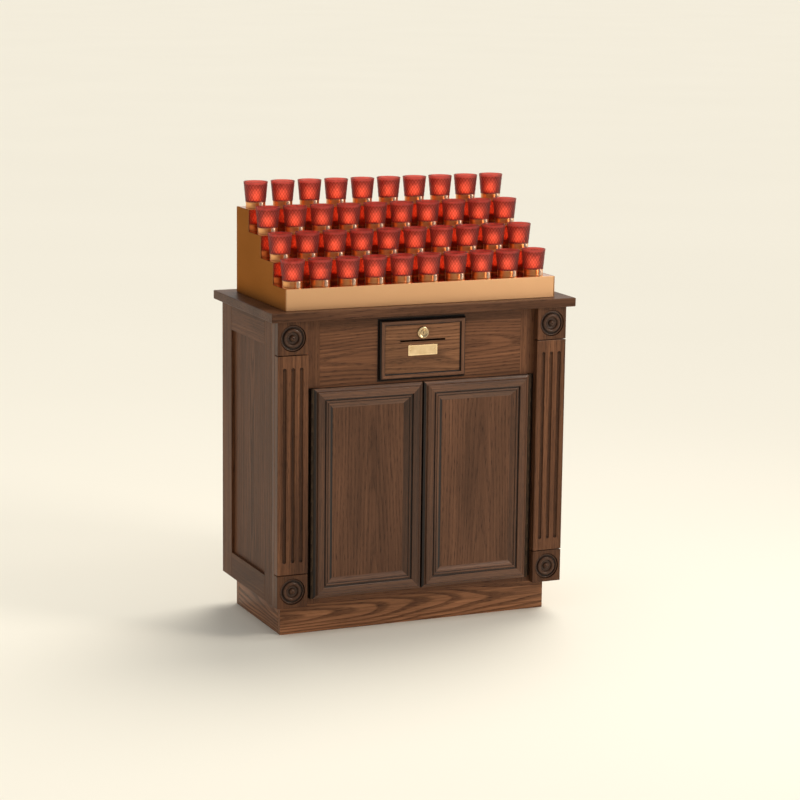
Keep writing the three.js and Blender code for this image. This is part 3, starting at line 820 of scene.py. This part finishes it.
def make_drawer():
    low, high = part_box("drawer_front")
    profile = in_mm(LIP_PROFILE)
    members = mitred_frame("drawer_lip", (low[0], low[2]), (high[0], high[2]), low[1], profile,
                           [LIP_FINISH_AND_SHADE] * 4, LIP_EDGE_SHADE_BACK)
    inset = 15.9 * MM
    field_front = low[1] + FIELD_DEPTH
    wood = oak("drawer_field_oak", 0, 2, middle_of(low, high), (2.0, 2.15, 2.15), cathedral=0.5)
    field = board("drawer_field", (low[0] + inset, field_front, low[2] + inset),
                  (high[0] - inset, high[1], high[2] - inset), wood, 0)
    slot_low, slot_high = (-68 * MM, low[1] - 0.01, 811 * MM), (68 * MM, high[1] + 0.01, 816 * MM)
    slot = board("slot_tool", slot_low, slot_high, plain_board, 0)
    lock_low, lock_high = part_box("lock_plug")
    axis = Vector((0, 0, (lock_low[2] + lock_high[2]) / 2))
    bore = turned_mesh("bore_tool", [(0, -0.05), (8.6 * MM, -0.05), (8.6 * MM, 0.05), (0, 0.05)], 32)
    hole = placed("bore_tool", bore, plain_board, (0, low[1], axis.z), FACING)
    cut_from(field, [slot, hole])
    for index, piece in enumerate([field, *members]):
        settled(piece, "drawer", ["drawer_front"] if index == 0 else ())
    make_lock(axis.z, lock_low, lock_high, field_front)
    make_plate(field_front)


def make_lock(height, low, high, field_front):
    """The rose on the drawer's front, and the plug with its keyway and its cam, which turn."""
    rose_brass = polished_brass("lock_rose_brass", 0.14, LOCK_TONE)
    plug_brass = polished_brass("lock_plug_brass", 0.2, LOCK_TONE)
    cam_brass = polished_brass("lock_cam_brass", 0.3, LOCK_TONE)
    rose = turned_mesh("lock_rose", in_mm([
        (8.5, 0.1), (17.5, 0.1), (17.5, 1.0), *arc((14, 1), 3.5, 23, 90, 4), (12.5, 3.9), (11, 3.3),
        (8.5, 3.0), (8.5, 0.1)]), 48)
    ring = placed("lock_rose", rose, rose_brass, (0, field_front, height), FACING)
    settled(ring, "drawer")
    length = high[1] - low[1]
    plug = turned_mesh("lock_plug_bar", [
        (0, 0), (7.2 * MM, 0), (8 * MM, -0.8 * MM), (8 * MM, -length), (0, -length)], 32)
    core = placed("lock_plug_core", plug, plug_brass, (0, low[1], height), FACING)
    keyway = board("keyway_tool", (-0.9 * MM, low[1] - 0.01, height - 4.5 * MM),
                   (0.9 * MM, low[1] + 5 * MM, height + 3.5 * MM), plain_board, 0)
    cut_from(core, [keyway])
    settled(core, "lock", ["lock_plug"])
    cam = board("lock_cam", (0, high[1] - 3 * MM, height - 4 * MM), (high[0], high[1], height + 4 * MM),
                cam_brass)
    settled(cam, "lock")


def make_plate(field_front):
    low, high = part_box("name_plate")
    thick = high[1] - low[1]
    front = field_front - 0.1 * MM - thick
    plate_brass = polished_brass("plate_brass", 0.24, 1.13)
    plate = board("brass_plate", (low[0], front, low[2]), (high[0], front + thick, high[2]), plate_brass,
                  0.4 * MM)
    border, sunk = 3.4 * MM, 0.4 * MM
    field_ends = [(low[0] + border, front - 10 * MM, low[2] + border),
                  (high[0] - border, front + sunk, high[2] - border)]
    cut_from(plate, [board("field_tool", *field_ends, plain_board, 0)])
    field = board("brass_plate_field", (field_ends[0][0], front + sunk / 2, field_ends[0][2]), field_ends[1],
                  polished_brass("plate_field_brass", 0.36, 0.94), 0)
    settled(field, "drawer")
    settled(plate, "drawer", ["name_plate"])
    head = turned_mesh("plate_screw", in_mm([(0, 0.9), (1.2, 0.75), (1.9, 0.1), (1.9, -0.4), (0, -0.4)]), 16)
    for side, x in (("left", low[0] + 7.5 * MM), ("right", high[0] - 7.5 * MM)):
        screw = placed(f"plate_screw_{side}", head, plate_brass, (x, front, (low[2] + high[2]) / 2), FACING)
        settled(screw, "drawer")


# ---------------------------------------------------------------- lamp rack

COMB_BAR_WIDTH = 10 * MM
COMB_DROP = 16 * MM              # tread to the bar that links its buttons
BUTTON_RADIUS = 5.5 * MM
GLASS_DIAMONDS = 22              # pressed round a glass, and the rows of them up it
GLASS_ROWS = 8
GLASS_PLAIN_RIM = 0.86           # share of the height below the plain band
SOCKET_UP = Vector((0, 0, 20.6 * MM))
LAMP_UP = Vector((0, 0, 23.6 * MM))


def light_places():
    """(step, index, the glass's foot) for every light, from the frame's own boxes."""
    for step in range(1, STEPS + 1):
        for index in range(1, LIGHTS_PER_STEP + 1):
            low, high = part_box(f"glass_{step}_{index:02d}")
            yield step, index, Vector(((low[0] + high[0]) / 2, (low[1] + high[1]) / 2, low[2]))


def light_spacing():
    """(tread to the glass's foot, glass axis to riser, button ahead of the glass), from the frame's boxes."""
    top_glass = next(foot for step, _, foot in light_places() if step == STEPS)
    front_glass = next(foot for step, _, foot in light_places() if step == 1)
    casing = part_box("rack_casing")[1]
    comb_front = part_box("push_buttons")[0][1]
    return top_glass.z - casing[2], casing[1] - top_glass.y, front_glass.y - comb_front - COMB_BAR_WIDTH / 2


def tread_heights():
    return [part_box(f"glass_{step}_01")[0][2] - HOLDER_HEIGHT for step in range(1, STEPS + 1)]


def riser_places():
    centers = [middle_of(*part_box(f"glass_{step}_01")).y for step in range(1, STEPS + 1)]
    return [center + GLASS_TO_RISER for center in centers[:-1]]


def stair_line(front, back, inset):
    treads, risers = tread_heights(), riser_places()
    line = [(front, treads[0] - inset)]
    for step, riser in enumerate(risers):
        line += [(riser + inset, treads[step] - inset), (riser + inset, treads[step + 1] - inset)]
    return [*line, (back, treads[-1] - inset)]


def eased(piece, amount, segments=2, angle=30):
    """Rounds the piece's sharp edges in its mesh."""
    bm = bmesh.new()
    bm.from_mesh(piece.data)
    bmesh.ops.dissolve_limit(bm, angle_limit=0.01, verts=bm.verts, edges=bm.edges)
    edges = [e for e in bm.edges if len(e.link_faces) == 2 and e.calc_face_angle() > math.radians(angle)]
    bmesh.ops.bevel(bm, geom=edges, offset=amount, segments=segments, profile=0.5, affect="EDGES")
    outward(bm)
    bm.to_mesh(piece.data)
    bm.free()
    return piece


def make_casing():
    low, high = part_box("rack_casing")
    sheet = 3 * MM
    ease = 0.7 * MM
    treads = tread_heights()
    outline = [(low[1], low[2]), (high[1], low[2]), *reversed(stair_line(low[1], high[1], 0))]
    for side, x0, x1 in (("left", low[0], low[0] + sheet), ("right", high[0] - sheet, high[0])):
        near = [(x0, y, z) for y, z in outline]
        far = [(x1, y, z) for y, z in outline]
        cheek = eased(prism(f"rack_cheek_{side}", near, far, cheek_brass_painted_shade), ease)
        settled(cheek, CABINET, ["rack_casing"] if side == "left" else ())
    inner = (low[0] + sheet + 0.05 * MM, high[0] - sheet - 0.05 * MM)
    fascia = board("rack_fascia", (inner[0], low[1], low[2]), (inner[1], low[1] + sheet, treads[0]),
                   rack_brass, ease)
    rear = board("rack_back", (inner[0], high[1] - sheet, low[2]), (inner[1], *high[1:]), rack_brass, ease)
    settled(fascia, CABINET)
    settled(rear, CABINET)


def make_deck():
    low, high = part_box("lamp_deck")
    sheet = 2.5 * MM
    outline = [*stair_line(low[1], high[1], sheet), *reversed(stair_line(low[1], high[1], 0))]
    near = [(low[0], y, z) for y, z in outline]
    far = [(high[0], y, z) for y, z in outline]
    deck = prism("rack_stair", near, far, mirror)
    hole = BUTTON_RADIUS + 0.7 * MM
    bore = turned_mesh("button_hole_tool", [(0, -0.01), (hole, -0.01), (hole, 0.01), (0, 0.01)], 16)
    tools = [placed("hole_tool", bore, mirror, (foot.x, foot.y - BUTTON_FORWARD, foot.z - HOLDER_HEIGHT))
             for _, _, foot in light_places()]
    cut_from(deck, [joined_meshes("hole_tools", tools)])
    settled(deck, CABINET, ["lamp_deck"])


def joined_meshes(name, pieces):
    """One object that holds all the pieces' shapes. The pieces are removed."""
    bm = bmesh.new()
    for piece in pieces:
        copy = piece.data.copy()
        copy.transform(piece.matrix_world)
        bm.from_mesh(copy)
        bpy.data.objects.remove(piece)
    mesh = bpy.data.meshes.new(name)
    bm.to_mesh(mesh)
    bm.free()
    mesh.materials.append(plain_board)
    whole = bpy.data.objects.new(name, mesh)
    bpy.context.collection.objects.link(whole)
    return whole


def holder_mesh():
    """The brass cup under a glass: a foot, a straight wall, a rolled rim and the spigot inside the glass."""
    return turned_mesh("lamp_holder", in_mm([
        (0, 0.05), (27.8, 0.05), (28.2, 0.4), (28.2, 1.6), (27.6, 2.2), (27.6, 12.6), (27.9, 13.4),
        (28.2, 14.2), (28.2, 15.6), (27.8, 16.3), (27.2, 16.5), (25.4, 16.5), (25.0, 16.9), (25.0, 20.1),
        (24.6, 20.5), (0, 20.5)]), 48)


def socket_mesh():
    outline = [(0, 0), (7.0, 0), (7.4, 0.4), (7.4, 2.4), (6.8, 2.9), (0, 2.9)]
    return turned_mesh("lamp_socket", in_mm(outline), 24)


def lamp_mesh():
    """A flame-shaped lamp bulb."""
    outline = [(0, 0), (6.4, 0), (7.0, 0.6), (8.8, 3.0), (10.0, 7.0), (10.2, 11.0), (9.0, 16.0), (6.6, 21.0),
               (4.0, 25.0), (1.9, 28.4), (0.7, 29.8), (0, 30.2)]
    return turned_mesh("lamp", in_mm(outline), 24, sharp=60)


def glass_mesh(rim, height):
    """A flared glass, pressed with diamonds outside between a plain foot and a plain rim."""
    foot, wall = 28.6 * MM, 3 * MM
    diamonds, rows = GLASS_DIAMONDS, GLASS_ROWS
    segments, levels = diamonds * 4, 36
    plain_foot, plain_rim = 0.05, GLASS_PLAIN_RIM
    raise_by = 0.8 * MM
    band = 0.05

    def flare(level):
        return foot + (rim - foot) * level

    def pattern(radius, z, angle):
        level = z / height
        fade = min(max((level - plain_foot) / band, 0), 1) * min(max((plain_rim - level) / band, 0), 1)
        across = diamonds * angle / 2
        up = math.pi * rows * level
        facet = abs(math.sin(across + up / 2)) * abs(math.sin(across - up / 2))
        return radius - raise_by * fade * (1 - min(1.0, 1.6 * facet))

    outer = [(flare(k / levels), height * k / levels) for k in range(levels + 1)]
    points, faces = turned_points(outer, segments, pattern)
    ease = 0.6 * MM
    lip = [(rim - ease, height), (rim - wall + ease, height)]
    inner = [(flare(k / 3) - wall, height * k / 3) for k in (3, 2, 1, 0)]
    rest_points, rest_faces = turned_points([outer[-1], *lip, *inner, outer[0]], segments)
    base = len(points)
    mesh = bpy.data.meshes.new("votive_glass")
    shifted = [tuple(i + base for i in face) for face in rest_faces]
    mesh.from_pydata([*points, *rest_points], [], [*faces, *shifted])
    bm = bmesh.new()
    bm.from_mesh(mesh)
    bmesh.ops.remove_doubles(bm, verts=bm.verts, dist=0.01 * MM)
    outward(bm)
    for edge in bm.edges:
        edge.smooth = edge.calc_face_angle(0) < math.radians(50)
    for face in bm.faces:
        face.smooth = True
    bm.to_mesh(mesh)
    bm.free()
    return mesh


def button_mesh(top):
    """A push-button's cap, with a domed top, on its stem."""
    cap, stem, dome_rise = BUTTON_RADIUS, 3.6 * MM, 2 * MM
    dome = [(cap * math.cos(a), top - dome_rise + dome_rise * math.sin(a)) for a in (0, 0.5, 1.0, 1.35)]
    return turned_mesh("push_button", [
        (0, -COMB_DROP), (stem, -COMB_DROP), (stem, 3.4 * MM), (cap - 0.3 * MM, 3.4 * MM), (cap, 3.8 * MM),
        *dome, (0, top)], 24)


def ferrule_mesh():
    return turned_mesh("button_ferrule", [(BUTTON_RADIUS + r * MM, z * MM) for r, z in [
        (0.4, 0.05), (2.9, 0.05), (2.9, 0.7), (2.3, 1.3), (1.0, 1.5), (0.4, 1.2), (0.4, 0.05)]], 24)


def make_lights():
    glass_low, glass_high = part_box("glass_1_01")
    glass = glass_mesh((glass_high[0] - glass_low[0]) / 2, glass_high[2] - glass_low[2])
    button = button_mesh(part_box("push_buttons")[1][2] - tread_heights()[-1])
    holder, socket, lamp, ferrule = holder_mesh(), socket_mesh(), lamp_mesh(), ferrule_mesh()
    ruby, glow = ruby_glass(glass_high[2] - glass_low[2]), lamp_glow()
    holder_brass = holder_copper()
    button_metal = bright_button()
    for step, index, foot in light_places():
        tag = f"{step}_{index:02d}"
        tread = foot - Vector((0, 0, HOLDER_HEIGHT))
        ahead = tread - Vector((0, BUTTON_FORWARD, 0))
        tumbler = placed(f"votive_glass_{tag}", glass, ruby, foot)
        settled(tumbler, f"glasses_{step}", [f"glass_{tag}"])
        settled(placed(f"lamp_holder_{tag}", holder, holder_brass, tread), CABINET)
        settled(placed(f"lamp_socket_{tag}", socket, holder_brass, tread + SOCKET_UP), CABINET)
        settled(placed(f"lamp_{tag}", lamp, glow, tread + LAMP_UP), CABINET)
        settled(placed(f"button_{tag}", button, button_metal, ahead), "buttons")
        settled(placed(f"button_ferrule_{tag}", ferrule, holder_brass, ahead), CABINET)


def make_comb():
    """The hidden bars that carry the push-buttons."""
    low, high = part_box("push_buttons")
    wide = COMB_BAR_WIDTH
    bar = 4 * MM
    rows = [(step, foot.y - BUTTON_FORWARD, foot.z - HOLDER_HEIGHT)
            for step, index, foot in light_places() if index == 1]
    metal = dark_bronze()
    sides = (("left", low[0]), ("right", high[0] - wide))
    for step, y, tread in rows:
        bottom = tread - COMB_DROP - bar
        front, back = y - wide / 2, y + wide / 2
        piece = board(f"button_bar_{step}", (low[0], front, bottom), (high[0], back, bottom + bar), metal,
                      0.4 * MM)
        settled(piece, "buttons", ["push_buttons"] if step == 1 else ())
        for side, x0 in sides:
            post = board(f"button_post_{step}_{side}", (x0, front, low[2]), (x0 + wide, back, bottom), metal,
                         0.4 * MM)
            settled(post, "buttons")
    for side, x0 in sides:
        rail = board(f"button_rail_{side}", (x0 + 1 * MM, rows[0][1], low[2]),
                     (x0 + wide - 1 * MM, rows[-1][1], low[2] + wide), metal, 0.4 * MM)
        settled(rail, "buttons")


# ---------------------------------------------------------------- the whole rack

frame_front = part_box("face_frame")[0][1]
HOLDER_HEIGHT, GLASS_TO_RISER, BUTTON_FORWARD = light_spacing()
plain_board = inside_board("inside_board")
bronze = dark_bronze()
rack_brass = brushed_brass("rack_brass", (0.66, 0.375, 0.19), (0.72, 0.415, 0.215), 0.6)
# painted shade: the cheeks take a darker copy of the rack's brass, as a side turned away from the key light
cheek_brass_painted_shade = brushed_brass("cheek_brass_painted_shade", (0.33, 0.151, 0.061), (0.39, 0.179, 0.075), 1.0,
                           (0.45, 0.28, 0.14))
mirror = mirror_sheet()

make_camera()
make_studio()
for inner_node, grain_axis in (("cabinet_floor", 0), ("back_panel", 2), ("drawer_box", 1)):
    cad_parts[inner_node].data.materials[0] = inside_board(f"{inner_node}_board", grain_axis)
make_plinth()
make_counter()
make_side("side_left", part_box("side_left")[0][0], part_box("side_left")[1][0])
make_side("side_right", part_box("side_right")[1][0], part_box("side_right")[0][0])
make_face_frame()
make_pilaster("pilaster_left")
make_pilaster("pilaster_right")
for handed in ("left", "right"):
    make_door(f"door_{handed}")
    make_hinge(f"hinge_{handed}", f"door_{handed}")
make_drawer()
make_casing()
make_deck()
make_lights()
make_comb()
